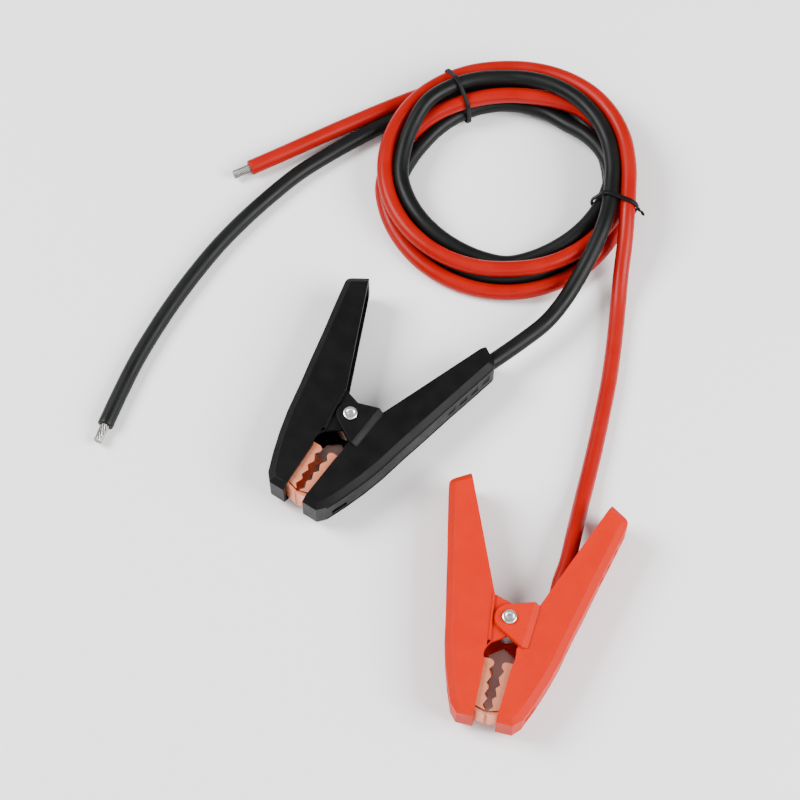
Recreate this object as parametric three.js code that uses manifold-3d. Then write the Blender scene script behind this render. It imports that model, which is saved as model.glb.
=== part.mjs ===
// Battery clamp cable: two insulated alligator clamps, black and red, each on its own
// jacketed cable with a bare tinned end, the two cables coiled together and tied twice.
// Units are millimetres, Z points up, and everything lies on the plane z = 0.

import * as THREE from 'three';
import { ConvexGeometry } from 'three/addons/geometries/ConvexGeometry.js';
import { mergeVertices } from 'three/addons/utils/BufferGeometryUtils.js';
import Module from 'manifold-3d';

const wasm = await Module();
wasm.setup();

// Clearances
const gap = 0.3;

// Cable
const cableDiameter = 8;
const cableSides = 10;
const tinnedDiameter = 4.6;
const tinnedLength = 9;

// Coil
const coilCentre = [54.4, 121.6];
const coilLiftHeading = 52;
const laneStep = 22.5;
const tubeStep = 15;
const firstLaneAngle = 90;

// Ties
const tieThickness = 1.2;
const tieWidth = 2.2;
const tieClearance = 0.5;
const tieFloorGap = 0.1;
const upperTieAngle = 116;
const rightTieAngle = -20;
const tieTailLength = 6;
const tieTailThickness = 1.4;

// Clamp levers: the halves of the outline that both levers share, in a frame whose
// origin is the rivet, with +Y towards the handles and +X towards the lever's outside
const bodyHalfHeight = 10;
const topWall = 2;
const sideWall = 2.4;
const frontWall = 1.9;
const endWall = 2.2;
const edgeBevelWidth = 3.2;
const edgeBevelHeight = 2.4;
const noseReach = 49.8;
const noseInner = 5.4;
const noseOuter = 13.4;
const noseCorner = 3.8;
const outerEdge = [
  [noseOuter + 3.5, noseCorner - noseReach], [noseOuter + 7.5, -0.723 * noseReach],
  [noseOuter + 11.2, -0.502 * noseReach], [27.6, -14], [30.6, 1], [33.8, 15], [37.2, 31],
  [40.9, 47], [44.3, 62.5],
];
const handleEndInner = [34.6, 68.5];
const handleCornerRun = 2.8;
const biteEdgeBack = [6.6, -22.5];
const freeArchBulge = 2.6;
const cableArchBulge = 1;

// Hinge
const rivetShaftRadius = 2.2;
const rivetHoleRadius = rivetShaftRadius + gap;
const rivetHeadRadius = 3.45;
const rivetHeadHeight = 1.1;
const outerEarSink = 0.5;
const outerEarBottom = bodyHalfHeight - outerEarSink;
const outerEarTop = outerEarBottom + 2;
const outerEarRadius = 7.2;
const outerEarSlope = 3.2;
const innerEarThickness = 2;
const innerEarTop = outerEarBottom - gap;
const innerEarBottom = innerEarTop - innerEarThickness;
const innerEarRadius = 7.6;
const hingeSideEdge = innerEarRadius + 1.4;
const ribWidth = 0.9;
const ribHeight = 0.6;

// Grip and details on the levers' outer walls
const gripPitch = 7.6;
const gripLength = 4.6;
const gripHeight = 4.6;
const gripDepth = 0.45;
const gripStart = 33;
const gripEnd = 60;
const grooveWidth = 1.2;
const grooveDepth = 0.9;
const slotLength = 8.5;
const slotHeight = 3.2;
const slotY = 10.8 - noseReach;
const slotZ = -2.8;

// Jaws
const jawSheet = 1.2;
const jawHalfHeight = bodyHalfHeight - topWall - gap;
const jawOuter = 12.3;
const jawBack = -20.6;
const jawFront = -(noseReach - frontWall - gap);
const jawTipFront = 1;
const jawTipBack = 2.6;
const toothDepth = 1.5;
const toothCount = 3;
const toothBack = 8.4;
const toothFlatShare = 0.1;
const toothRiseShare = 0.5;
const endPlateRake = 2;
const endSlot = 0.9;
const toothPitch = (jawBack - toothBack - (jawFront + jawSheet + endSlot)) / toothCount;
const endPlateGap = gap / 2;
const endPlateOuter = 9.2;
const endNotchPitch = 2.6;
const endNotchDepth = 0.9;

// Crimp at the back of the cable jaw, in which the cable ends inside its lever
const crimpMouth = [20.9, 6.5];
const crimpEnd = [19.5, -3];
const crimpDepth = 7;
const crimpHalfHeight = 4.4;

// Torsion spring
const springWire = 2;
const springMeanRadius = 6.1;
const springTurns = 5;
const springHalfHeight = innerEarBottom - gap - springWire / 2;
const springLegY = 30;

// How far each clamp stands off the floor, and where each one lies
const clampMidHeight = outerEarTop + gap + rivetHeadHeight;
const blackClamp = { rivet: [-24.1, -18.7], turn: -33.4 };
const redClamp = { rivet: [51.1, -123.2], turn: -14.3 };

// Colours
const finishes = {
  black_plastic: { color: 0x242528, roughness: 0.62, metalness: 0 },
  red_plastic: { color: 0xf4431f, roughness: 0.5, metalness: 0 },
  black_jacket: { color: 0x1d1f20, roughness: 0.5, metalness: 0 },
  red_jacket: { color: 0xc8281a, roughness: 0.42, metalness: 0 },
  copper: { color: 0xe0916c, roughness: 0.38, metalness: 1 },
  rivet_steel: { color: 0xd9dadc, roughness: 0.28, metalness: 1 },
  spring_steel: { color: 0x9a9c9e, roughness: 0.35, metalness: 1 },
  tinned_wire: { color: 0xc9c8c2, roughness: 0.3, metalness: 1 },
  tie_plastic: { color: 0x1b1c1d, roughness: 0.55, metalness: 0 },
};

// Turns a three.js geometry into a solid that can be joined and cut
function toSolid(geometry) {
  const bare = new THREE.BufferGeometry();
  bare.setAttribute('position', geometry.getAttribute('position'));
  bare.setIndex(geometry.getIndex());
  const merged = mergeVertices(bare, 1e-4);
  const mesh = new wasm.Mesh({
    numProp: 3,
    vertProperties: Float32Array.from(merged.getAttribute('position').array),
    triVerts: Uint32Array.from(merged.getIndex().array),
  });
  return new wasm.Manifold(mesh);
}

// Turns a solid back into a three.js geometry
function toGeometry(solid) {
  const mesh = solid.getMesh();
  const geometry = new THREE.BufferGeometry();
  geometry.setAttribute('position', new THREE.BufferAttribute(Float32Array.from(mesh.vertProperties), 3));
  geometry.setIndex(new THREE.BufferAttribute(Uint32Array.from(mesh.triVerts), 1));
  geometry.computeVertexNormals();
  return geometry;
}

function makeShape(points) {
  return new THREE.Shape(points.map(([x, y]) => new THREE.Vector2(x, y)));
}

// Extrudes an outline straight up between two heights
function prism(points, low, high) {
  const geometry = new THREE.ExtrudeGeometry(makeShape(points), { depth: high - low, bevelEnabled: false });
  geometry.translate(0, 0, low);
  return toSolid(geometry);
}

function boxSolid(size, centre, turn = 0) {
  const geometry = new THREE.BoxGeometry(size[0], size[1], size[2]);
  geometry.rotateZ(turn);
  geometry.translate(centre[0], centre[1], centre[2]);
  return toSolid(geometry);
}

// Mirrors outline points in X for the lever that lies on the other side
function onSide(points, side) {
  return points.map(([x, y]) => [side * x, y]);
}

function arc(radius, from, to, count) {
  const points = [];
  for (let i = 0; i <= count; i += 1) {
    const angle = THREE.MathUtils.degToRad(from + ((to - from) * i) / count);
    points.push([radius * Math.cos(angle), radius * Math.sin(angle)]);
  }
  return points;
}

// Moves every point of a chain to its left by a distance, along the local normal
function inset(chain, distance) {
  return chain.map(([x, y], i) => {
    const before = chain[Math.max(i - 1, 0)];
    const after = chain[Math.min(i + 1, chain.length - 1)];
    const dx = after[0] - before[0];
    const dy = after[1] - before[1];
    const length = Math.hypot(dx, dy);
    return [x - (dy / length) * distance, y + (dx / length) * distance];
  });
}

// Replaces a corner of an outline by a curve that starts and ends a given run away from it
function roundedCorner(before, corner, after, run) {
  const at = new THREE.Vector2(...corner);
  const towards = ([x, y]) => at.clone().add(new THREE.Vector2(x, y).sub(at).setLength(run));
  const curve = new THREE.QuadraticBezierCurve(towards(before), at, towards(after));
  return curve.getPoints(4).map((p) => [p.x, p.y]);
}

// The arch that both levers leave open in front of the hinge, as one lever's half
function archEdge(top, bulge) {
  const [x0, y0] = biteEdgeBack;
  const [x1, y1] = top;
  const curve = new THREE.QuadraticBezierCurve(
    new THREE.Vector2(x0, y0),
    new THREE.Vector2(Math.max(x0, x1) + bulge, (y0 + y1) / 2),
    new THREE.Vector2(x1, y1),
  );
  return curve.getPoints(5).map((p) => [p.x, p.y]);
}

// The inner edge of a lever, from the nose to the handle's end
function innerEdge(hingeEdge, bulge) {
  const arch = archEdge(hingeEdge[0], bulge);
  return [[noseInner, -noseReach], ...arch, ...hingeEdge.slice(1), handleEndInner];
}

const cableHingeEdge = [[6.6, -14], [hingeSideEdge, -7], [hingeSideEdge, 7.5], [12.5, 10]];
const freeHingeEdge = [[5.9, -14], [9.3, 10.2]];

// Shell of one lever: bevelled outside, hollow, and open along its inner side
function leverShell(side, hingeEdge, bulge) {
  const last = outerEdge[outerEdge.length - 1];
  const endDirection = [handleEndInner[0] - last[0], handleEndInner[1] - last[1]];
  const beyondEnd = [last[0] + 2.2 * endDirection[0], last[1] + 2.2 * endDirection[1]];
  const corner = roundedCorner(outerEdge[outerEdge.length - 2], last, handleEndInner, handleCornerRun);
  const outside = [
    [-6, -noseReach], [noseOuter, -noseReach], ...outerEdge.slice(0, -1), ...corner, beyondEnd, [-6, 10],
  ];
  const bevelled = new THREE.ExtrudeGeometry(makeShape(onSide(outside, side)), {
    depth: 2 * (bodyHalfHeight - edgeBevelHeight),
    bevelEnabled: true,
    bevelSegments: 1,
    bevelThickness: edgeBevelHeight,
    bevelSize: edgeBevelWidth,
    bevelOffset: -edgeBevelWidth,
  });
  bevelled.translate(0, 0, -(bodyHalfHeight - edgeBevelHeight));
  const inner = innerEdge(hingeEdge, bulge);
  const [ax, ay] = inner[inner.length - 2];
  const [bx, by] = handleEndInner;
  const past = [bx + 0.3 * (bx - ax), by + 0.3 * (by - ay)];
  const keep = [[noseInner, -noseReach - 9], ...inner, past, [99, past[1]], [99, -noseReach - 9]];
  const body = toSolid(bevelled).intersect(prism(onSide(keep, side), -bodyHalfHeight - 1, bodyHalfHeight + 1));
  return body.subtract(leverCavity(side));
}

// The channel inside a lever, which reaches past its open inner side
function leverCavity(side) {
  const wallChain = inset(outerEdge, sideWall).slice(0, -1);
  const last = outerEdge[outerEdge.length - 1];
  const alongX = handleEndInner[0] - last[0];
  const alongY = handleEndInner[1] - last[1];
  const length = Math.hypot(alongX, alongY);
  const along = [alongX / length, alongY / length];
  const down = [along[1], -along[0]];
  const corner = [
    last[0] + along[0] * sideWall - down[0] * endWall,
    last[1] + along[1] * sideWall - down[1] * endWall,
  ];
  const open = [corner[0] + 1.8 * alongX, corner[1] + 1.8 * alongY];
  const front = -noseReach + frontWall;
  const outline = [[-8, front], [noseOuter - 0.4, front], ...wallChain, corner, open, [-8, 10]];
  return prism(onSide(outline, side), -(bodyHalfHeight - topWall), bodyHalfHeight - topWall);
}

// A point on the lever's outer edge at a given distance towards the handles
function outerPoint(y) {
  let i = 0;
  while (i < outerEdge.length - 2 && outerEdge[i + 1][1] < y) i += 1;
  const [x0, y0] = outerEdge[i];
  const [x1, y1] = outerEdge[i + 1];
  const t = (y - y0) / (y1 - y0);
  return { x: x0 + t * (x1 - x0), turn: Math.atan2(y1 - y0, x1 - x0) - Math.PI / 2 };
}

// Shallow finger grips, the groove under each bevel and the slot near the nose
function cutOuterWall(shell, side) {
  let result = shell;
  for (let y = gripStart; y <= gripEnd; y += gripPitch) {
    const { x, turn } = outerPoint(y);
    const size = [2 * gripDepth, gripLength, gripHeight];
    result = result.subtract(boxSolid(size, [side * x, y, 0], side * turn));
  }
  const slot = outerPoint(slotY);
  const slotSize = [4 * sideWall, slotLength, slotHeight];
  result = result.subtract(boxSolid(slotSize, [side * slot.x, slotY, slotZ], side * slot.turn));
  const grooveChain = inset(outerEdge, grooveDepth);
  const band = [...grooveChain, [99, 80], [99, grooveChain[0][1]]];
  const grooveTop = bodyHalfHeight - edgeBevelHeight - 0.6;
  for (const up of [1, -1]) {
    const low = up > 0 ? grooveTop - grooveWidth : -grooveTop;
    result = result.subtract(prism(onSide(band, side), low, low + grooveWidth));
  }
  return result;
}

// Raised outer ear of the cable lever, a rounded triangle with a sloped edge
function outerEar(side, up) {
  const foot = [
    ...arc(outerEarRadius, 100, 245, 9),
    [9, -13.4], [8.8 + outerEarSlope, -12.4], [9.8 + outerEarSlope, 9.2], [10, 10.9],
  ];
  const crown = [...arc(outerEarRadius - 0.5, 100, 245, 9), [8.8, -12.5], [9.8, 10.2]];
  const points = [];
  for (const [x, y] of foot) points.push(new THREE.Vector3(side * x, y, up * outerEarBottom));
  for (const [x, y] of foot) points.push(new THREE.Vector3(side * x, y, up * (bodyHalfHeight + 0.1)));
  for (const [x, y] of crown) points.push(new THREE.Vector3(side * x, y, up * outerEarTop));
  return toSolid(new ConvexGeometry(points));
}

// Recessed inner ear of the free lever, which passes under the outer ear
function innerEar(side, up) {
  const outline = [...arc(innerEarRadius, 95, 250, 10), [6.2, -13.6], [12, -13.6], [12, 10.4], [9.4, 10.4]];
  const low = up > 0 ? innerEarBottom : -innerEarTop;
  return prism(onSide(outline, side), low, low + innerEarThickness);
}

// Thin rib along the step between the free lever's top and its recessed ear
function stepRib(side, up) {
  const [x0, y0] = freeHingeEdge[0];
  const [x1, y1] = freeHingeEdge[1];
  const rib = [[x0 + 0.3, y0 + 1.5], [x0 + 0.3 + ribWidth, y0 + 1.5], [x1 + ribWidth, y1], [x1, y1]];
  const low = up > 0 ? bodyHalfHeight - 0.5 : -bodyHalfHeight - ribHeight;
  return prism(onSide(rib, side), low, low + ribHeight + 0.5);
}

function rivetHole() {
  const hole = new THREE.CylinderGeometry(rivetHoleRadius, rivetHoleRadius, 40, 24);
  hole.rotateX(Math.PI / 2);
  return toSolid(hole);
}

function cableLever(exit) {
  let solid = cutOuterWall(leverShell(1, cableHingeEdge, cableArchBulge), 1);
  for (const up of [1, -1]) solid = solid.add(outerEar(1, up));
  solid = solid.subtract(rivetHole());
  if (exit) {
    const [x0, y0] = exit.from;
    const [x1, y1] = exit.to;
    const reach = Math.hypot(x1 - x0, y1 - y0);
    const hole = new THREE.CylinderGeometry(cableDiameter / 2 + gap, cableDiameter / 2 + gap, reach, 20);
    hole.rotateZ(-Math.atan2(x1 - x0, y1 - y0));
    hole.translate((x0 + x1) / 2, (y0 + y1) / 2, 0);
    solid = solid.subtract(toSolid(hole));
  }
  return toGeometry(solid);
}

function freeLever() {
  let solid = cutOuterWall(leverShell(-1, freeHingeEdge, freeArchBulge), -1);
  for (const up of [1, -1]) solid = solid.add(innerEar(-1, up)).add(stepRib(-1, up));
  return toGeometry(solid.subtract(rivetHole()));
}

// Toothed edge of a jaw's flange, from the front tooth to the knob at the back
function toothEdge() {
  const points = [];
  const start = jawFront + jawSheet + endSlot;
  const flat = toothPitch * toothFlatShare;
  const rise = toothPitch * toothRiseShare;
  const run = jawBack - start;
  for (let i = 0; i < toothCount; i += 1) {
    const y = start + i * toothPitch;
    const tip = jawTipFront + ((jawTipBack - jawTipFront) * i * toothPitch) / run;
    const root = y + toothPitch - rise;
    points.push([tip, y], [tip, y + flat], [tip + toothDepth, root - flat], [tip + toothDepth, root]);
  }
  const last = jawBack - toothBack;
  points.push([jawTipBack - 0.7, last], [jawTipBack - 0.7, last + flat], [jawTipBack + 0.9, last + 3.2]);
  points.push([jawTipBack + 0.9, last + 4], [jawTipBack - 0.6, jawBack - 2.8]);
  points.push([jawTipBack - 0.6, jawBack - 1], [jawTipBack + 0.8, jawBack]);
  return points;
}

// Sheet jaw: toothed top and bottom flanges, a web between them, and a front end plate
function jaw(side, held) {
  const plateBack = jawFront + jawSheet + endPlateRake;
  const flange = [
    ...toothEdge(),
    [jawOuter, jawBack], [jawOuter, jawFront + 4], [endPlateOuter, jawFront + endPlateRake],
    [endPlateGap, jawFront], [endPlateGap, jawFront + jawSheet],
    [endPlateOuter - jawSheet, plateBack], [endPlateOuter - jawSheet, plateBack + endSlot],
  ];
  let solid = prism(onSide(flange, side), jawHalfHeight - jawSheet, jawHalfHeight);
  solid = solid.add(prism(onSide(flange, side), -jawHalfHeight, -jawHalfHeight + jawSheet));
  const webLength = jawBack - jawFront - 4;
  const webCentre = [side * (jawOuter - jawSheet / 2), (jawBack + jawFront + 4) / 2, 0];
  solid = solid.add(boxSolid([jawSheet, webLength, 2 * jawHalfHeight], webCentre));
  const plate = [
    [endPlateGap, jawFront], [endPlateOuter, jawFront + endPlateRake],
    [endPlateOuter, plateBack], [endPlateGap, jawFront + jawSheet],
  ];
  solid = solid.add(prism(onSide(plate, side), -jawHalfHeight, jawHalfHeight));
  for (let z = -2 * endNotchPitch; z <= 2 * endNotchPitch; z += endNotchPitch) {
    const notch = [endNotchDepth, 3 * jawSheet, endNotchDepth];
    const at = [side * (endPlateGap + endNotchDepth / 2 - 0.1), jawFront + jawSheet / 2, z];
    solid = solid.subtract(boxSolid(notch, at));
  }
  return toGeometry(held ? solid.add(crimp()) : solid);
}

// The cable jaw's tail: a strap along the inside of the lever that ends in a U round the cable
function crimp() {
  const [mx, my] = crimpMouth;
  const [ex, ey] = crimpEnd;
  const length = Math.hypot(mx - ex, my - ey);
  const back = [(ex - mx) / length, (ey - my) / length];
  const outer = cableDiameter / 2 + gap + jawSheet;
  const inner = cableDiameter / 2 + gap;
  const at = (across, along) => [
    ex + back[0] * along - back[1] * across,
    ey + back[1] * along + back[0] * across,
  ];
  const cup = [
    at(outer, -crimpDepth), at(outer, gap + jawSheet), at(-outer, gap + jawSheet), at(-outer, -crimpDepth),
    at(-inner, -crimpDepth), at(-inner, gap), at(inner, gap), at(inner, -crimpDepth),
  ];
  const strap = [
    [jawOuter - jawSheet, jawBack - 2], [jawOuter, jawBack - 2], [jawOuter, jawBack + 3],
    at(-outer + 2.2 * jawSheet, gap + jawSheet / 2), at(-outer + jawSheet, gap + jawSheet / 2),
    [jawOuter - jawSheet, jawBack + 3],
  ];
  const strapSolid = prism(strap, -crimpHalfHeight, crimpHalfHeight);
  return prism(cup, -crimpHalfHeight, crimpHalfHeight).add(strapSolid);
}

// Rivet: a shaft with a dished head at each end
function rivet() {
  const low = outerEarTop + gap;
  const high = low + rivetHeadHeight;
  const half = [
    [rivetShaftRadius, low], [rivetHeadRadius, low], [rivetHeadRadius, low + 0.5],
    [rivetHeadRadius - 0.5, high], [rivetHeadRadius - 1.1, high], [rivetHeadRadius - 1.7, high - 0.45],
    [rivetHeadRadius - 2.4, high - 0.45], [0, high - 0.15],
  ];
  const lower = half.map(([r, z]) => new THREE.Vector2(r, -z)).reverse();
  const upper = half.map(([r, z]) => new THREE.Vector2(r, z));
  const geometry = new THREE.LatheGeometry([...lower, ...upper], 32);
  geometry.rotateX(Math.PI / 2);
  return toGeometry(toSolid(geometry));
}

// A path whose steps fall exactly on its own points
class StationPath extends THREE.CatmullRomCurve3 {
  getPointAt(u, target) {
    return this.getPoint(u, target);
  }

  getTangentAt(u, target) {
    return this.getTangent(u, target);
  }
}

function roundSection(diameter, sides) {
  const shape = new THREE.Shape();
  for (let i = 0; i < sides; i += 1) {
    const angle = (2 * Math.PI * i) / sides;
    const x = (diameter / 2) * Math.cos(angle);
    const y = (diameter / 2) * Math.sin(angle);
    if (i === 0) shape.moveTo(x, y);
    else shape.lineTo(x, y);
  }
  return shape;
}

function tube(points, diameter, sides) {
  const path = new StationPath(points.map((p) => new THREE.Vector3(...p)));
  const geometry = new THREE.ExtrudeGeometry(roundSection(diameter, sides), {
    steps: points.length - 1,
    extrudePath: path,
  });
  return toGeometry(toSolid(geometry));
}

// Torsion spring: a coil around the rivet with a leg along the inside of each handle
function spring() {
  const perTurn = 12;
  const count = springTurns * perTurn;
  const legWall = outerPoint(springLegY).x - sideWall - springWire / 2 - gap - 0.4;
  const legAngle = Math.atan2(springLegY, legWall) - Math.asin(springMeanRadius / Math.hypot(legWall, springLegY));
  const points = [[-legWall, springLegY, -springHalfHeight]];
  const start = Math.PI - legAngle + Math.PI / 2;
  const sweep = 2 * Math.PI * springTurns - (start - legAngle + Math.PI / 2) + 2 * Math.PI;
  for (let i = 0; i <= count; i += 1) {
    const angle = start + (sweep * i) / count;
    const height = -springHalfHeight + (2 * springHalfHeight * i) / count;
    points.push([springMeanRadius * Math.cos(angle), springMeanRadius * Math.sin(angle), height]);
  }
  points.push([legWall, springLegY, springHalfHeight]);
  return tube(points, springWire, 8);
}

// The lanes of each cable in the coil: radius and height at every lane step, clockwise
// from the top of the coil, with the height above a flat floor
const redLanes = [
  [63.2, 4], [63, 4], [62.8, 4], [62.5, 4],
  [62.3, 4], [62.6, 4], [62.9, 4], [63.2, 4],
  [63.5, 4], [63.5, 4], [63.4, 4], [63.3, 4],
  [63.2, 4], [57.5, 6.5], [51.5, 11.2], [47.5, 12.3],
  [46.8, 12.4], [48.8, 12.5], [54.6, 12.4], [58.6, 12.4],
  [62.3, 12.4], [60.1, 12.4], [57.5, 12.4], [55.6, 12.4],
  [54.6, 12.4], [56, 12.4], [58, 12.4], [60.2, 12.4],
  [62.2, 12.4], [63.4, 12.6], [63.8, 13.2], [63.6, 12.7],
  [63.4, 12.4], [63.3, 15], [63.2, 18.2], [62.7, 20.2],
  [62.3, 20.8],
];
const blackLanes = [
  [54.9, 4], [54.7, 4], [54.5, 4], [54.2, 4],
  [54, 4], [54.3, 4], [54.6, 4], [54.9, 4],
  [55.2, 4], [55.1, 4], [55, 4], [54.9, 4],
  [54.9, 4], [49.4, 4], [47.2, 4], [46.6, 4],
  [46.6, 4], [46.4, 4.3], [46.1, 6.4], [49.9, 11.2],
  [54, 12.4], [51.3, 12.1], [48.7, 10.1], [46.8, 6.6],
  [46.9, 4], [46.7, 6.6], [48.6, 10.1], [51.2, 12.1],
  [53.9, 12.6], [54.4, 15.2], [56.7, 18.2], [56.1, 17.4],
  [54.9, 16.8], [54.5, 19.3], [54.4, 20.7], [54.2, 20.9],
  [54, 20.8],
];

// The ties lie under the coil and lift one side of it, so that each tie clears the floor
function liftShare(angle) {
  return (1 + Math.cos(THREE.MathUtils.degToRad(angle - coilLiftHeading))) / 2;
}

const leastTieShare = Math.min(liftShare(upperTieAngle), liftShare(rightTieAngle));
const coilLift = (tieThickness + tieClearance + tieFloorGap) / leastTieShare;

function liftAt(angle) {
  return coilLift * liftShare(angle);
}

function coilPoint(angle, radius, height) {
  const a = THREE.MathUtils.degToRad(angle);
  return [
    coilCentre[0] + radius * Math.cos(a),
    coilCentre[1] + radius * Math.sin(a),
    height + liftAt(angle),
  ];
}

// One lane's radius and height at an angle of the winding
function laneAt(lanes, angle) {
  const curve = new THREE.SplineCurve(lanes.map(([r, z]) => new THREE.Vector2(r, z)));
  const t = (firstLaneAngle - angle) / (laneStep * (lanes.length - 1));
  return curve.getPoint(t);
}

function coilRoute(lanes) {
  const lastAngle = firstLaneAngle - laneStep * (lanes.length - 1);
  const points = [];
  for (let angle = firstLaneAngle; angle >= lastAngle; angle -= tubeStep) {
    const lane = laneAt(lanes, angle);
    points.push(coilPoint(angle, lane.x, lane.y));
  }
  return points;
}

// Places a point of a clamp's own frame on the floor plan
function inClamp(clamp, [x, y], height = clampMidHeight) {
  const a = THREE.MathUtils.degToRad(clamp.turn);
  return [
    clamp.rivet[0] + x * Math.cos(a) - y * Math.sin(a),
    clamp.rivet[1] + x * Math.sin(a) + y * Math.cos(a),
    height,
  ];
}

// Hand-chosen points of the stretches that aren't coiled
const redFree = [
  [-77.9, 131, 4], [-60.4, 139.9, 4], [-43.3, 148.9, 4], [-26.3, 157.6, 4], [-8.9, 166, 4.3],
  [8, 173.2, 5.2], [25.5, 178.9, 6.1], [39.3, 183, 6.2],
];
const blackFree = [
  [-145.5, -15.8, 4], [-138.8, 2.2, 4], [-131.6, 19.8, 4], [-123.2, 36.9, 4], [-113.9, 53.6, 4],
  [-103.8, 69.6, 4], [-92.6, 85.5, 4], [-80.2, 100.4, 4], [-66.8, 114.4, 4], [-52.8, 127.5, 4],
  [-37.3, 138.9, 4], [-21, 149.6, 4], [-5, 158.6, 4.3], [11, 165.3, 5.2], [26.5, 170.6, 6.1],
  [40, 174.9, 6.2],
];
const redOut = [
  [116.2, 108, 22], [115.2, 96, 20.8], [113.9, 82, 16.5], [111.7, 66, 9.2], [110.2, 52, 5],
  [108.5, 38, 4], [106.3, 22.6, 4], [103.4, 6, 4], [99.9, -10, 4], [96.2, -26, 4],
  [92.4, -41.2, 4], [89, -54, 5], [86, -66, 8], [83.2, -77.5, 11.5],
];
const blackOut = [
  [107.7, 110.5, 22.4], [106, 98.6, 22.3], [102.3, 86, 21.9], [96.6, 73, 19.6], [89.9, 60.9, 16.2],
  [82.3, 48.6, 13.8], [72.9, 36.8, clampMidHeight], [61.3, 26.8, clampMidHeight],
];
const redInLever = [[19.9, 38], [18.9, 27], [19.3, 16.5], crimpMouth, crimpEnd];
const blackInLever = [
  [40.9, 69.6], [36.4, 57.5], [32.6, 44.8], [29, 31], [25, 18.5], crimpMouth, crimpEnd,
];
const blackExit = { from: blackInLever[1], to: blackInLever[0] };

function cableRoute(free, lanes, out, clamp, inLever) {
  return [
    ...free,
    ...coilRoute(lanes),
    ...out,
    ...inLever.map((p) => inClamp(clamp, p)),
  ];
}

// Bare tinned end of a conductor, in line with the cable's first stretch
function tinnedEnd(route) {
  const first = new THREE.Vector3(...route[0]);
  const direction = first.clone().sub(new THREE.Vector3(...route[1])).normalize();
  const geometry = new THREE.CylinderGeometry(tinnedDiameter / 2, tinnedDiameter / 2, tinnedLength, 20);
  const turn = new THREE.Quaternion().setFromUnitVectors(new THREE.Vector3(0, 1, 0), direction);
  geometry.applyQuaternion(turn);
  const middle = first.clone().addScaledVector(direction, gap + tinnedLength / 2);
  geometry.translate(middle.x, middle.y, middle.z);
  return toGeometry(toSolid(geometry));
}

// Smallest outline around a set of points in the plane, counter-clockwise
function wrap(points) {
  const sorted = [...points].sort((a, b) => a[0] - b[0] || a[1] - b[1]);
  const half = (list) => {
    const chain = [];
    for (const p of list) {
      while (chain.length > 1) {
        const [ax, ay] = chain[chain.length - 2];
        const [bx, by] = chain[chain.length - 1];
        if ((bx - ax) * (p[1] - ay) - (by - ay) * (p[0] - ax) > 0) break;
        chain.pop();
      }
      chain.push(p);
    }
    return chain.slice(0, -1);
  };
  return [...half(sorted), ...half(sorted.reverse())];
}

// Where the strands of both cables cross the upright plane of a tie, as radius and height
function strandsAt(angle, routes) {
  const reach = Math.max(...redLanes.map(([r]) => r)) + 2 * cableDiameter;
  const a = THREE.MathUtils.degToRad(angle);
  const centres = [];
  for (const route of routes) {
    const flat = route.map(([x, y, z]) => {
      const dx = x - coilCentre[0];
      const dy = y - coilCentre[1];
      return [dx * Math.cos(a) + dy * Math.sin(a), dy * Math.cos(a) - dx * Math.sin(a), z];
    });
    for (let i = 1; i < flat.length; i += 1) {
      const [r0, d0, z0] = flat[i - 1];
      const [r1, d1, z1] = flat[i];
      const t = d0 / (d0 - d1);
      const r = r0 + t * (r1 - r0);
      if (d0 * d1 <= 0 && r > 0 && r < reach) centres.push([r, z0 + t * (z1 - z0)]);
    }
  }
  return centres;
}

// A tie: a flat band drawn round the bundle, with a short twisted tail on its outside
function tie(angle, routes) {
  const around = (reach) => {
    const points = [];
    for (const [r, z] of strandsAt(angle, routes)) {
      for (const [dx, dz] of arc(reach, 0, 345, 23)) points.push([r + dx, z + dz]);
    }
    return wrap(points);
  };
  const inner = cableDiameter / 2 + tieClearance;
  const ring = makeShape(around(inner + tieThickness));
  ring.holes.push(makeShape(around(inner)));
  const band = new THREE.ExtrudeGeometry(ring, { depth: tieWidth, bevelEnabled: false });
  band.translate(0, 0, -tieWidth / 2);
  const outermost = around(inner + tieThickness).reduce((a, b) => (b[0] > a[0] ? b : a));
  const tail = new THREE.ExtrudeGeometry(
    makeShape([
      [-tieTailThickness / 2, -tieWidth / 2], [tieTailThickness / 2, -tieWidth / 2],
      [tieTailThickness / 2, tieWidth / 2], [-tieTailThickness / 2, tieWidth / 2],
    ]),
    { depth: tieTailLength, steps: 6, bevelEnabled: false },
  );
  const position = tail.getAttribute('position');
  for (let i = 0; i < position.count; i += 1) {
    const twist = (position.getZ(i) / tieTailLength) * Math.PI;
    const x = position.getX(i);
    const y = position.getY(i);
    position.setXY(i, x * Math.cos(twist) - y * Math.sin(twist), x * Math.sin(twist) + y * Math.cos(twist));
  }
  tail.rotateY(Math.PI / 2);
  tail.translate(outermost[0] - tieThickness / 2, outermost[1], 0);
  const geometry = toGeometry(toSolid(band).add(toSolid(tail)));
  geometry.rotateX(Math.PI / 2);
  geometry.rotateZ(THREE.MathUtils.degToRad(angle));
  geometry.translate(coilCentre[0], coilCentre[1], 0);
  return geometry;
}

function addMesh(parent, name, geometry, finish) {
  const material = new THREE.MeshStandardMaterial(finishes[finish]);
  const mesh = new THREE.Mesh(geometry, material);
  mesh.name = name;
  parent.add(mesh);
  return mesh;
}

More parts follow.
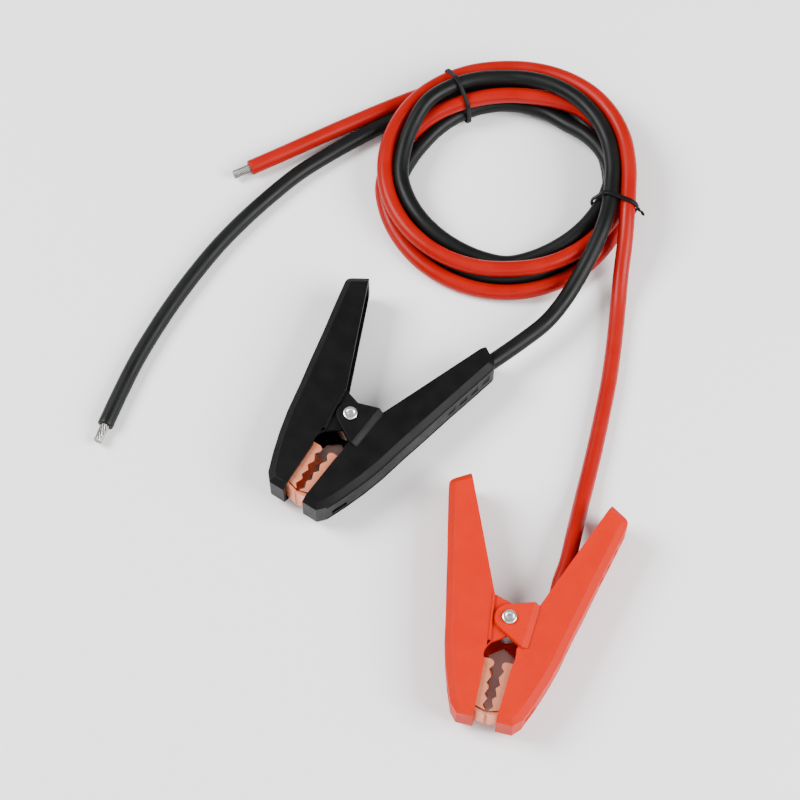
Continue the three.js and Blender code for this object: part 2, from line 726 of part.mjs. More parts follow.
function addClamp(parent, colour, clamp, exit) {
  const group = new THREE.Group();
  group.position.set(clamp.rivet[0], clamp.rivet[1], clampMidHeight);
  group.rotation.z = THREE.MathUtils.degToRad(clamp.turn);
  addMesh(group, `${colour}_cable_lever`, cableLever(exit), `${colour}_plastic`);
  addMesh(group, `${colour}_free_lever`, freeLever(), `${colour}_plastic`);
  addMesh(group, `${colour}_cable_jaw`, jaw(1, true), 'copper');
  addMesh(group, `${colour}_free_jaw`, jaw(-1, false), 'copper');
  addMesh(group, `${colour}_rivet`, rivet(), 'rivet_steel');
  addMesh(group, `${colour}_spring`, spring(), 'spring_steel');
  parent.add(group);
  return group;
}

const layout = new THREE.Group();
const blackGroup = addClamp(layout, 'black', blackClamp, blackExit);
const redGroup = addClamp(layout, 'red', redClamp, null);

const redRoute = cableRoute(redFree, redLanes, redOut, redClamp, redInLever);
const blackRoute = cableRoute(blackFree, blackLanes, blackOut, blackClamp, blackInLever);
addMesh(layout, 'red_cable', tube(redRoute, cableDiameter, cableSides), 'red_jacket');
addMesh(layout, 'black_cable', tube(blackRoute, cableDiameter, cableSides), 'black_jacket');
addMesh(layout, 'red_tinned_end', tinnedEnd(redRoute), 'tinned_wire');
addMesh(layout, 'black_tinned_end', tinnedEnd(blackRoute), 'tinned_wire');

addMesh(layout, 'upper_tie', tie(upperTieAngle, [redRoute, blackRoute]), 'tie_plastic');
addMesh(layout, 'right_tie', tie(rightTieAngle, [redRoute, blackRoute]), 'tie_plastic');

// The origin is the middle of the floor under the two clamps
layout.updateMatrixWorld(true);
const clamps = new THREE.Box3();
clamps.union(new THREE.Box3().setFromObject(blackGroup, true));
clamps.union(new THREE.Box3().setFromObject(redGroup, true));
const middle = clamps.getCenter(new THREE.Vector3());
layout.position.set(-middle.x, -middle.y, 0);

const batteryClampCable = new THREE.Group();
batteryClampCable.add(layout);

export default batteryClampCable;
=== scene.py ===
"""Looks of the battery clamp cable: two insulated clamps on two cables, coiled together and tied.

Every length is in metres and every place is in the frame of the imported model.
"""

import logging
import math
from dataclasses import dataclass
from enum import Enum

import bmesh
import bpy
import numpy as np
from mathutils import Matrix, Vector


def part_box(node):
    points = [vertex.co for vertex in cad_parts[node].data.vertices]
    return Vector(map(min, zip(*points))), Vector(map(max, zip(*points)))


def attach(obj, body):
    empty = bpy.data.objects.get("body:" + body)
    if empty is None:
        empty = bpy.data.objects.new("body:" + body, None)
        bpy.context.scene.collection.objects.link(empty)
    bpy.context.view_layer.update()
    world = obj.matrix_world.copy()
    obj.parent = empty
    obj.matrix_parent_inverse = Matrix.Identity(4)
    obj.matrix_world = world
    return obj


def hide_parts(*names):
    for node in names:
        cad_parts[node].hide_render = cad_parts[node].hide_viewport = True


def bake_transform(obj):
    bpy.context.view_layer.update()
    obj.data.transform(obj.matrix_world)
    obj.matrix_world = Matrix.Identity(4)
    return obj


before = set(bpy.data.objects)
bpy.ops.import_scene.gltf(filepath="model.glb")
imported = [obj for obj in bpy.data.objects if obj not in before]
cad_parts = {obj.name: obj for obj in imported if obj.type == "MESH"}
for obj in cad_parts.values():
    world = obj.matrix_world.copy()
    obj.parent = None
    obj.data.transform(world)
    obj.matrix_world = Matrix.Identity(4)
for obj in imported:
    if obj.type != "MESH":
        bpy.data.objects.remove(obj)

log = logging.getLogger("battery_clamp_cable")

Array = np.ndarray
Colour = tuple[float, float, float]
Pair = tuple[float, float]

ROOT_BODY = "cables_and_cable_sides"
MM = 0.001

# How finely round shapes are divided
RIVET_SIDES = 64
WIRE_SIDES = 16
STEPS_A_TURN = 32
LEG_STEPS = 12
STEPS_A_SPAN = 16
OUTLINE_WAYS = 720
BAND_SIDES = 20
TAIL_SIDES = 10
TAIL_STEPS = 40
STRAND_STEPS = 132
END_RINGS = 30
TIP_RINGS = 7


class Pole(Enum):
    """The two electrical sides of the set; the value is the first word of their CAD nodes."""

    BLACK = "black"
    RED = "red"


class Grain(Enum):
    """Height patterns that a finish can take its relief from."""

    MOULDED = "moulded"
    DRAWN = "drawn"


# Shader building blocks


@dataclass(frozen=True)
class Socket:
    """One named socket of a node group."""

    name: str
    kind: str
    value: float | None = None


def new_group(name: str, inputs: list[Socket], outputs: list[Socket]) -> bpy.types.NodeTree:
    """Make an empty shader node group with named sockets.

    Args:
        name: the group's name.
        inputs: sockets that a material sets.
        outputs: sockets that a material reads.

    Returns:
        The node group, with its input and output nodes placed.
    """
    group = bpy.data.node_groups.new(name, "ShaderNodeTree")
    for socket in inputs:
        made = group.interface.new_socket(name=socket.name, in_out="INPUT", socket_type=socket.kind)
        if socket.value is not None:
            made.default_value = socket.value
    for socket in outputs:
        group.interface.new_socket(name=socket.name, in_out="OUTPUT", socket_type=socket.kind)
    group.nodes.new("NodeGroupInput")
    group.nodes.new("NodeGroupOutput")
    return group


def ends(group: bpy.types.NodeTree) -> tuple[bpy.types.Node, bpy.types.Node]:
    """Return a group's input node and output node."""
    return group.nodes["Group Input"], group.nodes["Group Output"]


def add_noise(tree: bpy.types.NodeTree, detail: float, rough: float = 0.5) -> bpy.types.Node:
    """Add a noise texture node with its detail and roughness set."""
    node = tree.nodes.new("ShaderNodeTexNoise")
    node.inputs["Detail"].default_value = detail
    node.inputs["Roughness"].default_value = rough
    return node


def add_range(tree: bpy.types.NodeTree, source: Pair, target: Pair = (0.0, 1.0)) -> bpy.types.Node:
    """Add a clamped smooth map from one range of values to another."""
    node = tree.nodes.new("ShaderNodeMapRange")
    node.interpolation_type = "SMOOTHSTEP"
    node.inputs["From Min"].default_value = source[0]
    node.inputs["From Max"].default_value = source[1]
    node.inputs["To Min"].default_value = target[0]
    node.inputs["To Max"].default_value = target[1]
    return node


def add_math(tree: bpy.types.NodeTree, operation: str, value: float | None = None) -> bpy.types.Node:
    """Add a math node, with its second value set where one is given."""
    node = tree.nodes.new("ShaderNodeMath")
    node.operation = operation
    if value is not None:
        node.inputs[1].default_value = value
    return node


@dataclass(frozen=True)
class EffectGroups:
    """The node groups that the finishes share."""

    highlight_and_tint: bpy.types.NodeTree
    grain: bpy.types.NodeTree
    drawn: bpy.types.NodeTree
    dust: bpy.types.NodeTree

    @staticmethod
    def build() -> "EffectGroups":
        """Build every shared group once."""
        return EffectGroups(edge_highlight_and_tint(), moulded_grain(), drawn_lines(), handling_dust())


def edge_highlight_and_tint() -> bpy.types.NodeTree:
    """Mask that is 1 on raised edges, broken up by noise: the mesh's own convexity times noise. It
    places painted highlights along the edges, and an orange edge tint on copper.

    Returns:
        A group with inputs Coordinates, Spread and Break Up Scale, and output Mask.
    """
    group = new_group(
        "edge highlight and tint",
        [
            Socket("Coordinates", "NodeSocketVector"),
            Socket("Spread", "NodeSocketFloat", 0.06),
            Socket("Break Up Scale", "NodeSocketFloat", 350.0),
        ],
        [Socket("Mask", "NodeSocketFloat")],
    )
    start, finish = ends(group)
    shape = group.nodes.new("ShaderNodeNewGeometry")
    offset = add_math(group, "SUBTRACT", 0.505)
    group.links.new(shape.outputs["Pointiness"], offset.inputs[0])
    spread = add_math(group, "DIVIDE")
    group.links.new(offset.outputs[0], spread.inputs[0])
    group.links.new(start.outputs["Spread"], spread.inputs[1])
    noise = add_noise(group, 3.0, 0.6)
    group.links.new(start.outputs["Coordinates"], noise.inputs["Vector"])
    group.links.new(start.outputs["Break Up Scale"], noise.inputs["Scale"])
    broken = add_range(group, (0.3, 0.65), (0.35, 1.0))
    group.links.new(noise.outputs["Fac"], broken.inputs["Value"])
    product = add_math(group, "MULTIPLY")
    product.use_clamp = True
    group.links.new(spread.outputs[0], product.inputs[0])
    group.links.new(broken.outputs["Result"], product.inputs[1])
    group.links.new(product.outputs[0], finish.inputs["Mask"])
    return group


def moulded_grain() -> bpy.types.NodeTree:
    """Fine pits and soft waviness of a moulded surface: fine noise plus a fifth of coarse noise.

    Returns:
        A group with inputs Coordinates and Scale, and outputs Height and Mottle.
    """
    group = new_group(
        "moulded grain",
        [Socket("Coordinates", "NodeSocketVector"), Socket("Scale", "NodeSocketFloat", 2600.0)],
        [Socket("Height", "NodeSocketFloat"), Socket("Mottle", "NodeSocketFloat")],
    )
    start, finish = ends(group)
    fine = add_noise(group, 2.0, 0.55)
    group.links.new(start.outputs["Coordinates"], fine.inputs["Vector"])
    group.links.new(start.outputs["Scale"], fine.inputs["Scale"])
    coarse = add_noise(group, 3.0)
    coarser = add_math(group, "MULTIPLY", 0.045)
    group.links.new(start.outputs["Scale"], coarser.inputs[0])
    group.links.new(coarser.outputs[0], coarse.inputs["Scale"])
    group.links.new(start.outputs["Coordinates"], coarse.inputs["Vector"])
    share = add_math(group, "MULTIPLY", 0.2)
    group.links.new(coarse.outputs["Fac"], share.inputs[0])
    total = add_math(group, "ADD")
    group.links.new(fine.outputs["Fac"], total.inputs[0])
    group.links.new(share.outputs[0], total.inputs[1])
    group.links.new(total.outputs[0], finish.inputs["Height"])
    group.links.new(coarse.outputs["Fac"], finish.inputs["Mottle"])
    return group


def drawn_lines() -> bpy.types.NodeTree:
    """Fine rolling lines of sheet metal: noise stretched twelve times along one axis.

    Returns:
        A group with inputs Coordinates and Scale, and outputs Height and Mottle.
    """
    group = new_group(
        "drawn lines",
        [Socket("Coordinates", "NodeSocketVector"), Socket("Scale", "NodeSocketFloat", 900.0)],
        [Socket("Height", "NodeSocketFloat"), Socket("Mottle", "NodeSocketFloat")],
    )
    start, finish = ends(group)
    stretch = group.nodes.new("ShaderNodeMapping")
    stretch.inputs["Scale"].default_value = (1.0, 0.08, 1.0)
    group.links.new(start.outputs["Coordinates"], stretch.inputs["Vector"])
    lines = add_noise(group, 4.0, 0.6)
    group.links.new(stretch.outputs["Vector"], lines.inputs["Vector"])
    group.links.new(start.outputs["Scale"], lines.inputs["Scale"])
    group.links.new(lines.outputs["Fac"], finish.inputs["Height"])
    cloud = add_noise(group, 4.0, 0.62)
    wide = add_math(group, "MULTIPLY", 0.35)
    group.links.new(start.outputs["Scale"], wide.inputs[0])
    group.links.new(wide.outputs[0], cloud.inputs["Scale"])
    group.links.new(start.outputs["Coordinates"], cloud.inputs["Vector"])
    group.links.new(cloud.outputs["Fac"], finish.inputs["Mottle"])
    return group


def handling_dust() -> bpy.types.NodeTree:
    """Thin uneven film: two noises of different size, kept only where both are high.

    Returns:
        A group with inputs Coordinates and Scale, and output Mask.
    """
    group = new_group(
        "handling dust",
        [Socket("Coordinates", "NodeSocketVector"), Socket("Scale", "NodeSocketFloat", 60.0)],
        [Socket("Mask", "NodeSocketFloat")],
    )
    start, finish = ends(group)
    wide = add_noise(group, 3.0)
    group.links.new(start.outputs["Coordinates"], wide.inputs["Vector"])
    group.links.new(start.outputs["Scale"], wide.inputs["Scale"])
    small = add_noise(group, 5.0, 0.7)
    closer = add_math(group, "MULTIPLY", 14.0)
    group.links.new(start.outputs["Scale"], closer.inputs[0])
    group.links.new(closer.outputs[0], small.inputs["Scale"])
    group.links.new(start.outputs["Coordinates"], small.inputs["Vector"])
    product = add_math(group, "MULTIPLY")
    group.links.new(wide.outputs["Fac"], product.inputs[0])
    group.links.new(small.outputs["Fac"], product.inputs[1])
    film = add_range(group, (0.2, 0.42))
    group.links.new(product.outputs[0], film.inputs["Value"])
    group.links.new(film.outputs["Result"], finish.inputs["Mask"])
    return group


# Finishes


@dataclass(frozen=True)
class Finish:
    """One finish: its colours, gloss and relief.

    The colour goes from base to mottled by the grain's mottle, to the edge colour on raised edges, which
    is a painted highlight on most finishes and an orange tint on copper, and towards dusty where the
    film lies. Roughness varies between two values by the mottle.
    """

    name: str
    base: Colour
    mottled: Colour
    highlight_and_tint_colour: Colour
    dusty: Colour
    roughness: Pair
    grain: Grain
    grain_scale: float
    relief: float
    highlight_and_tint_spread: float = 0.08
    highlight_and_tint: float = 0.5
    dust: float = 0.08
    metallic: float = 0.0
    specular: float = 0.5

    def material(self, groups: EffectGroups) -> bpy.types.Material:
        """Build the finish as a material.

        Args:
            groups: the shared node groups.

        Returns:
            The new material.
        """
        made = bpy.data.materials.new(self.name)
        made.use_nodes = True
        tree = made.node_tree
        shader = tree.nodes["Principled BSDF"]
        shader.inputs["Metallic"].default_value = self.metallic
        shader.inputs["Specular IOR Level"].default_value = self.specular
        place = tree.nodes.new("ShaderNodeTexCoord").outputs["Object"]
        grain = tree.nodes.new("ShaderNodeGroup")
        grain.node_tree = groups.grain if self.grain is Grain.MOULDED else groups.drawn
        grain.inputs["Scale"].default_value = self.grain_scale
        tree.links.new(place, grain.inputs["Coordinates"])
        highlight_and_tint = tree.nodes.new("ShaderNodeGroup")
        highlight_and_tint.node_tree = groups.highlight_and_tint
        highlight_and_tint.inputs["Spread"].default_value = self.highlight_and_tint_spread
        tree.links.new(place, highlight_and_tint.inputs["Coordinates"])
        dust = tree.nodes.new("ShaderNodeGroup")
        dust.node_tree = groups.dust
        tree.links.new(place, dust.inputs["Coordinates"])
        mottle = add_range(tree, (0.32, 0.68))
        tree.links.new(grain.outputs["Mottle"], mottle.inputs["Value"])
        colour = self.blend(tree, mottle.outputs["Result"], None, self.base, self.mottled)
        # raised edges take the edge colour: a painted highlight, and an orange tint on copper
        amount = add_math(tree, "MULTIPLY", self.highlight_and_tint)
        tree.links.new(highlight_and_tint.outputs["Mask"], amount.inputs[0])
        colour = self.blend(tree, amount.outputs[0], colour, self.base, self.highlight_and_tint_colour)
        film = add_math(tree, "MULTIPLY", self.dust)
        tree.links.new(dust.outputs["Mask"], film.inputs[0])
        colour = self.blend(tree, film.outputs[0], colour, self.base, self.dusty)
        tree.links.new(colour, shader.inputs["Base Color"])
        gloss = add_range(tree, (0.3, 0.7), self.roughness)
        tree.links.new(grain.outputs["Mottle"], gloss.inputs["Value"])
        tree.links.new(gloss.outputs["Result"], shader.inputs["Roughness"])
        bump = tree.nodes.new("ShaderNodeBump")
        bump.inputs["Strength"].default_value = 1.0
        bump.inputs["Distance"].default_value = self.relief
        tree.links.new(grain.outputs["Height"], bump.inputs["Height"])
        tree.links.new(bump.outputs["Normal"], shader.inputs["Normal"])
        return made

    @staticmethod
    def blend(
        tree: bpy.types.NodeTree,
        factor: bpy.types.NodeSocket,
        below: bpy.types.NodeSocket | None,
        plain: Colour,
        above: Colour,
    ) -> bpy.types.NodeSocket:
        """Mix a colour over another by a mask.

        Args:
            tree: the material's node tree.
            factor: the mask.
            below: the colour so far, or None to start from the plain colour.
            plain: the plain colour.
            above: the colour where the mask is 1.

        Returns:
            The mixed colour's socket.
        """
        mix = tree.nodes.new("ShaderNodeMix")
        mix.data_type = "RGBA"
        mix.inputs["A"].default_value = (*plain, 1.0)
        mix.inputs["B"].default_value = (*above, 1.0)
        tree.links.new(factor, mix.inputs["Factor"])
        if below is not None:
            tree.links.new(below, mix.inputs["A"])
        return mix.outputs["Result"]


# The fourth value of each finish is its raised-edge colour: mostly lighter, as a painted highlight along
# the edges; on copper an orange tint
BLACK_PLASTIC = Finish(
    "black_plastic", (0.0024, 0.0024, 0.0026), (0.0034, 0.0034, 0.0035), (0.008, 0.008, 0.0082),
    (0.02, 0.02, 0.0195), (0.4, 0.47), Grain.MOULDED, 2600.0, 0.00006, highlight_and_tint=0.5, dust=0.02,
    specular=0.1,
)
RED_PLASTIC = Finish(
    "red_plastic", (0.48, 0.009, 0.0001), (0.50, 0.010, 0.0001), (0.56, 0.018, 0.001),
    (0.5, 0.03, 0.004), (0.42, 0.5), Grain.MOULDED, 2600.0, 0.00005, highlight_and_tint=0.6, dust=0.02,
    specular=0.08,
)
BLACK_JACKET = Finish(
    "black_jacket", (0.0022, 0.0027, 0.0026), (0.0034, 0.0038, 0.0038), (0.02, 0.02, 0.021),
    (0.02, 0.02, 0.0195), (0.4, 0.5), Grain.MOULDED, 1500.0, 0.00002, highlight_and_tint=0.2, dust=0.04,
    specular=0.18,
)
RED_JACKET = Finish(
    "red_jacket", (0.29, 0.002, 0.0004), (0.32, 0.003, 0.0006), (0.45, 0.01, 0.004),
    (0.3, 0.01, 0.006), (0.3, 0.42), Grain.MOULDED, 1500.0, 0.00002, highlight_and_tint=0.2, dust=0.05,
    specular=0.15,
)
COPPER = Finish(
    "copper", (0.90, 0.41, 0.27), (0.74, 0.25, 0.13), (0.85, 0.15, 0.03),
    (0.6, 0.3, 0.2), (0.34, 0.5), Grain.DRAWN, 1100.0, 0.00003, highlight_and_tint=0.8, dust=0.12, metallic=0.7,
)
RIVET_STEEL = Finish(
    "rivet_steel", (0.95, 0.95, 0.955), (0.88, 0.88, 0.885), (0.97, 0.97, 0.97),
    (0.5, 0.5, 0.49), (0.2, 0.32), Grain.DRAWN, 1600.0, 0.000006, highlight_and_tint=0.3, dust=0.1, metallic=1.0,
)
SPRING_STEEL = Finish(
    "spring_steel", (0.42, 0.43, 0.44), (0.3, 0.3, 0.31), (0.6, 0.6, 0.6),
    (0.3, 0.28, 0.25), (0.28, 0.42), Grain.DRAWN, 1200.0, 0.00001, highlight_and_tint=0.3, dust=0.2, metallic=1.0,
)
TINNED_WIRE = Finish(
    "tinned_wire", (0.36, 0.345, 0.32), (0.15, 0.14, 0.125), (0.97, 0.97, 0.95),
    (0.12, 0.1, 0.08), (0.22, 0.4), Grain.MOULDED, 1800.0, 0.0001, highlight_and_tint=0.6, dust=0.5, metallic=1.0,
)
TIE_PLASTIC = Finish(
    "tie_plastic", (0.0024, 0.0024, 0.0026), (0.004, 0.004, 0.0041), (0.02, 0.02, 0.02),
    (0.02, 0.02, 0.02), (0.42, 0.56), Grain.MOULDED, 1800.0, 0.00003, highlight_and_tint=0.3, dust=0.05,
    specular=0.15,
)
FINISHES = (
    BLACK_PLASTIC, RED_PLASTIC, BLACK_JACKET, RED_JACKET, COPPER,
    RIVET_STEEL, SPRING_STEEL, TINNED_WIRE, TIE_PLASTIC,
)


class Workshop:
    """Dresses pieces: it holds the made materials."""

    def __init__(self) -> None:
        """Build the shared groups and one material for each finish."""
        groups = EffectGroups.build()
        self.materials = {finish.name: finish.material(groups) for finish in FINISHES}

    def dress(self, piece: bpy.types.Object, finish: Finish, node: str, body: str | None) -> None:
        """Give a piece its finish, let it stand for its node and ride on its body.

        Args:
            piece: the new piece.
            finish: its finish.
            node: the CAD node that it stands for.
            body: the body that it rides on, or None to attach it to no body.
        """
        piece.data.materials.clear()
        piece.data.materials.append(self.materials[finish.name])
        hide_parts(node)
        if body is not None:
            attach(piece, body)
        log.info("%s stands for %s, %d faces", piece.name, node, len(piece.data.polygons))


# Surfaces


def add_piece(name: str, points: Array, faces: list[list[int]], smooth_angle: float) -> bpy.types.Object:
    """Put points and faces into a new piece whose faces point outwards.

    Args:
        name: the piece's name.
        points: the points, one row each.
        faces: the corners of each face.
        smooth_angle: edges sharper than this many degrees stay crisp.

    Returns:
        The new object, at the origin.
    """
    mesh = bpy.data.meshes.new(name)
    mesh.from_pydata(points.tolist(), [], faces)
    mesh.update()
    mesh.calc_loop_triangles()
    corners = np.empty(len(mesh.loop_triangles) * 3, np.int32)
    mesh.loop_triangles.foreach_get("vertices", corners)
    triangle = points[corners.reshape(-1, 3)]
    volume = np.einsum("ij,ij->i", triangle[:, 0], np.cross(triangle[:, 1], triangle[:, 2])).sum()
    if volume < 0:
        mesh.flip_normals()
    mesh.shade_smooth()
    mesh.set_sharp_from_angle(angle=math.radians(smooth_angle))
    piece = bpy.data.objects.new(name, mesh)
    bpy.context.scene.collection.objects.link(piece)
    return piece


def grid_faces(rows: int, columns: int, closed_rows: bool) -> list[list[int]]:
    """List the quads of a grid whose columns run round and whose rows may run round too.

    Args:
        rows: how many rows of points there are.
        columns: how many points each row has.
        closed_rows: whether the last row joins the first one; if not, both ends get a cap.

    Returns:
        The corner numbers of each face.
    """
    row = np.arange(rows if closed_rows else rows - 1)[:, None]
    column = np.arange(columns)[None, :]
    after_row = (row + 1) % rows
    after_column = (column + 1) % columns
    corners = [
        row * columns + column, after_row * columns + column,
        after_row * columns + after_column, row * columns + after_column,
    ]
    faces = np.stack(corners, axis=-1).reshape(-1, 4).tolist()
    if not closed_rows:
        faces.append(list(range(columns)))
        faces.append(list(range(rows * columns - 1, (rows - 1) * columns - 1, -1)))
    return faces


def sweep(path: Array, sections: Array, closed: bool = False) -> Array:
    """Carry a section along a path that never stands upright.

    A point is the path's point plus a times the level direction square to the path, plus b
    times the direction square to both, where (a, b) is the section's point.

    Args:
        path: the stations, one row each.
        sections: section points, shaped (stations or 1, points, 2).
        closed: whether the path ends where it starts.

    Returns:
        The surface's points, shaped (stations, points, 3).
    """
    if closed:
        tangent = np.roll(path, -1, axis=0) - np.roll(path, 1, axis=0)
    else:
        tangent = np.gradient(path, axis=0)
    tangent /= np.linalg.norm(tangent, axis=1, keepdims=True)
    side = np.cross(tangent, [0.0, 0.0, 1.0])
    side /= np.linalg.norm(side, axis=1, keepdims=True)
    up = np.cross(side, tangent)
    return path[:, None, :] + sections[..., :1] * side[:, None, :] + sections[..., 1:] * up[:, None, :]


def circle(count: int) -> Array:
    """Points of the unit circle, one row each, at equal steps."""
    angle = np.arange(count) * 2 * math.pi / count
    return np.stack([np.cos(angle), np.sin(angle)], axis=1)


def smooth_path(stations: Array, step: float) -> Array:
    """Draw a smooth curve through stations, and space its points equally.

    Each span is the cubic whose end slopes are half the step between the neighbouring
    stations; the result is spaced by its own length.

    Args:
        stations: the points that the curve passes through.
        step: the wanted distance between its points.

    Returns:
        The curve's points.
    """
    padded = np.vstack([2 * stations[0] - stations[1], stations, 2 * stations[-1] - stations[-2]])
    before, here, there, after = padded[:-3], padded[1:-2], padded[2:-1], padded[3:]
    share = (np.arange(STEPS_A_SPAN) / STEPS_A_SPAN)[None, :, None]
    slope_here = ((there - before) / 2)[:, None, :]
    slope_there = ((after - here) / 2)[:, None, :]
    jump = (there - here)[:, None, :]
    cubic = slope_here + slope_there - 2 * jump
    square = 3 * jump - 2 * slope_here - slope_there
    curve = here[:, None, :] + share * (slope_here + share * (square + share * cubic))
    dense = np.vstack([curve.reshape(-1, 3), stations[-1:]])
    return even(dense, step)


def lengths_along(points: Array) -> Array:
    """Distance of each point from the first one, along the line of points."""
    return np.concatenate([[0.0], np.cumsum(np.linalg.norm(np.diff(points, axis=0), axis=1))])


def even(points: Array, step: float) -> Array:
    """Space a line of points equally by its own length, at about the given step."""
    along = lengths_along(points)
    count = max(int(round(along[-1] / step)), 2) + 1
    wanted = np.linspace(0.0, along[-1], count)
    return np.stack([np.interp(wanted, along, axis) for axis in points.T], axis=1)


def finer_copy(node: str, name: str, bevel: float) -> bpy.types.Object:
    """Copy a CAD node's surface, merge its corners and round its edges.

    Args:
        node: the CAD node.
        name: the new piece's name.
        bevel: the width of the rounding, in metres.

    Returns:
        The new object, with a bevel that stays live.
    """
    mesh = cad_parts[node].data.copy()
    mesh.name = name
    shape = bmesh.new()
    shape.from_mesh(mesh)
    bmesh.ops.remove_doubles(shape, verts=shape.verts, dist=0.000004)
    bmesh.ops.dissolve_limit(
        shape, angle_limit=math.radians(0.6), verts=shape.verts, edges=shape.edges
    )
    shape.to_mesh(mesh)
    shape.free()
    mesh.shade_smooth()
    mesh.set_sharp_from_angle(angle=math.radians(26))
    piece = bpy.data.objects.new(name, mesh)
    bpy.context.scene.collection.objects.link(piece)
    rounding = piece.modifiers.new("rounded edges", "BEVEL")
    rounding.width = bevel
    rounding.segments = 2
    rounding.limit_method = "ANGLE"
    rounding.angle_limit = math.radians(32)
    rounding.use_clamp_overlap = False
    rounding.harden_normals = True
    return piece


# Clamps


@dataclass(frozen=True)
class ClampPlace:
    """Where a clamp lies: its rivet in the layout, its turn in degrees, and its height."""

    rivet: Pair
    turn: float
    height: float = 0.0129

    def at(self, x: float, y: float) -> list[float]:
        """A point of the clamp's middle plane in the layout."""
        a = math.radians(self.turn)
        return [
            self.rivet[0] + x * math.cos(a) - y * math.sin(a),
            self.rivet[1] + x * math.sin(a) + y * math.cos(a),
            self.height,
        ]


PLACES = {
    Pole.BLACK: ClampPlace((-0.0241, -0.0187), -33.4),
    Pole.RED: ClampPlace((0.0511, -0.1232), -14.3),
}


def layout_origin() -> Array:
    """The layout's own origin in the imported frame, from where the black rivet is."""
    low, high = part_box("black_rivet")
    centre = (np.array(low) + np.array(high)) / 2
    rivet = PLACES[Pole.BLACK].rivet
    return np.array([centre[0] - rivet[0], centre[1] - rivet[1], 0.0])


